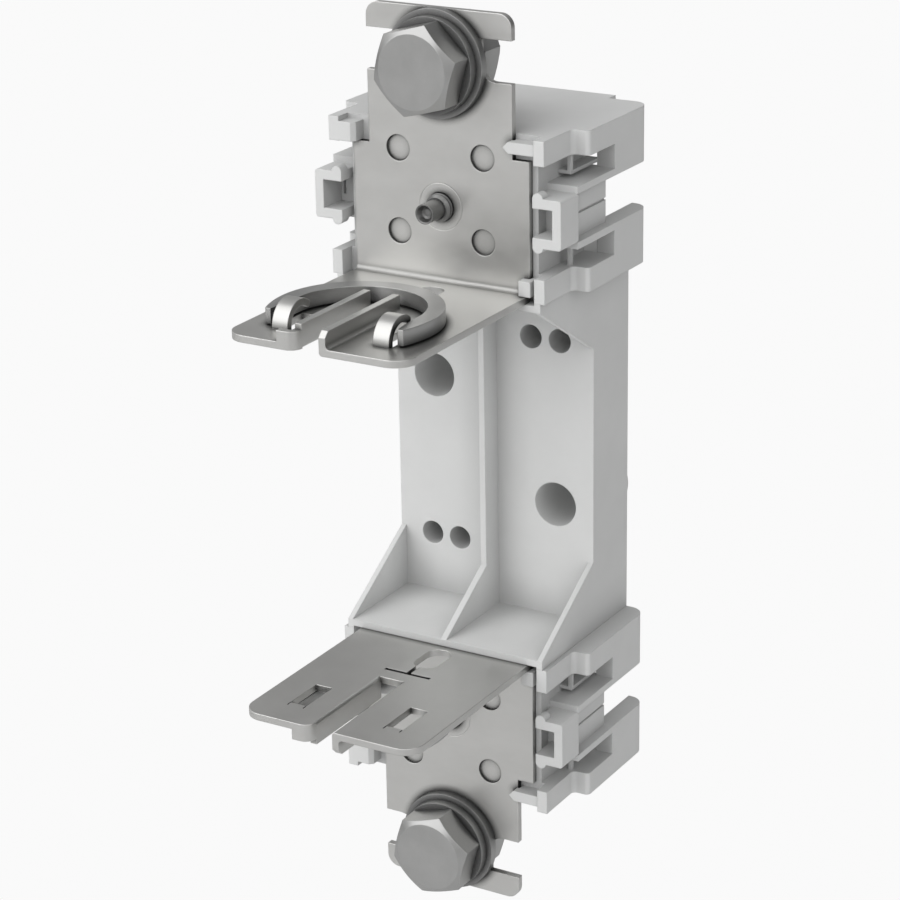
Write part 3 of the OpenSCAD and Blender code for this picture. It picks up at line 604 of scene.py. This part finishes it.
def fixing_screws(material):
    """Both fixing screws with hexagon heads at the rear, M6 threads and cupped points."""
    head = hexagon_head(SCREW_FLATS, SCREW_HEAD, SCREW_HEAD_CHAMFER)
    tip = SCREW_HEAD + SCREW_LENGTH
    thread_end = tip - POINT_LENGTH
    shank = threaded_shank(SCREW_D, SCREW_PITCH, SCREW_HEAD * SHANK_START, thread_end, SCREW_END_CHAMFER)
    upper = join([head, shank, cupped_point(tip)], "upper_threaded_fixing_screw")
    lower = copy_piece(upper, "lower_threaded_fixing_screw")
    for piece, half in ((upper, "upper"), (lower, "lower")):
        node = half + "_fixing_screw"
        low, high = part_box(node)
        place = along_y(high.y, (low.z + high.z) / 2, FORWARD)
        seat(piece, place, "base", node, material)


# Studio

def camera_sees(tree, seen, lit, output):
    """Shows the camera one shader, and every other ray another."""
    rays = add(tree, "ShaderNodeLightPath", 400, 400)
    mix = add(tree, "ShaderNodeMixShader", 600, 0)
    wire(tree, rays.outputs["Is Camera Ray"], mix.inputs[0])
    wire(tree, lit, mix.inputs[1])
    wire(tree, seen, mix.inputs[2])
    wire(tree, mix.outputs["Shader"], output.inputs["Surface"])


def paper_floor():
    """White paper far below, which the camera sees evenly lit."""
    deselect()
    bpy.ops.mesh.primitive_plane_add(size=FLOOR_SIZE, location=(0, 0, cad_box[0].z - FLOOR_DROP))
    floor = bpy.context.object
    floor.name = "floor"
    material, tree, shader, output = new_material("white paper")
    preset(shader, {"Base Color": (PAPER_BOUNCE, PAPER_BOUNCE, PAPER_BOUNCE, 1),
                    "Roughness": PAPER_ROUGHNESS})
    glow = add(tree, "ShaderNodeEmission", 400, -400)
    preset(glow, {"Color": (PAPER_WHITE, PAPER_WHITE, PAPER_WHITE, 1)})
    camera_sees(tree, glow.outputs["Emission"], shader.outputs["BSDF"], output)
    floor.data.materials.append(material)


def room():
    """Surroundings that glow in front and high behind, and are white to the camera."""
    world = bpy.data.worlds.new("studio")
    world.use_nodes = True
    tree = world.node_tree
    tree.nodes.clear()
    where = add(tree, "ShaderNodeTexCoord", -800, 0)
    total = add(tree, "ShaderNodeMath", -200, 0, operation="ADD")
    for step, glow in enumerate(ROOM_GLOWS):
        facing = add(tree, "ShaderNodeVectorMath", -600, -250 * step, operation="DOT_PRODUCT")
        preset(facing, {1: glow["side"].normalized()})
        level = add(tree, "ShaderNodeMapRange", -400, -250 * step, interpolation_type="SMOOTHSTEP")
        preset(level, {"From Min": glow["start"], "From Max": glow["full"],
                       "To Min": glow["least"], "To Max": glow["most"]})
        wire(tree, where.outputs["Generated"], facing.inputs[0])
        wire(tree, facing.outputs["Value"], level.inputs["Value"])
        wire(tree, level.outputs["Result"], total.inputs[step])
    lit = add(tree, "ShaderNodeBackground", 200, 0)
    wire(tree, total.outputs["Value"], lit.inputs["Strength"])
    seen = add(tree, "ShaderNodeBackground", 200, -200)
    preset(seen, {"Color": (PAPER_WHITE, PAPER_WHITE, PAPER_WHITE, 1)})
    output = add(tree, "ShaderNodeOutputWorld", 800, 0)
    camera_sees(tree, seen.outputs["Background"], lit.outputs["Background"], output)
    bpy.context.scene.world = world


def soft_light(name, side, size, power):
    """A large square light on one side that looks at the middle of the base."""
    data = bpy.data.lights.new(name, "AREA")
    data.shape = "SQUARE"
    data.size = size
    data.energy = power
    light = bpy.data.objects.new(name, data)
    light.location = side.normalized() * LIGHT_DISTANCE
    light.rotation_mode = "QUATERNION"
    light.rotation_quaternion = side.to_track_quat("Z", "Y")
    bpy.context.scene.collection.objects.link(light)


def studio():
    """Paper floor, room light and two large soft lights."""
    paper_floor()
    room()
    soft_light("key", KEY_FROM, KEY_SIZE, KEY_POWER)
    soft_light("fill", FILL_FROM, FILL_SIZE, FILL_POWER)
    bpy.context.scene.view_settings.view_transform = "Standard"


place_camera()
zinc = zinc_plate()
dress(moulded_plastic(), "_moulding", "_block")
dress(tin_plate(), "_contact", "_press_nut")
dress(spring_steel(), "_ring_spring")
dress(zinc, "_bolt", "_terminal_nut", "_washer", "_screw")
terminal_bolts(zinc)
fixing_screws(screw_steel())
studio()
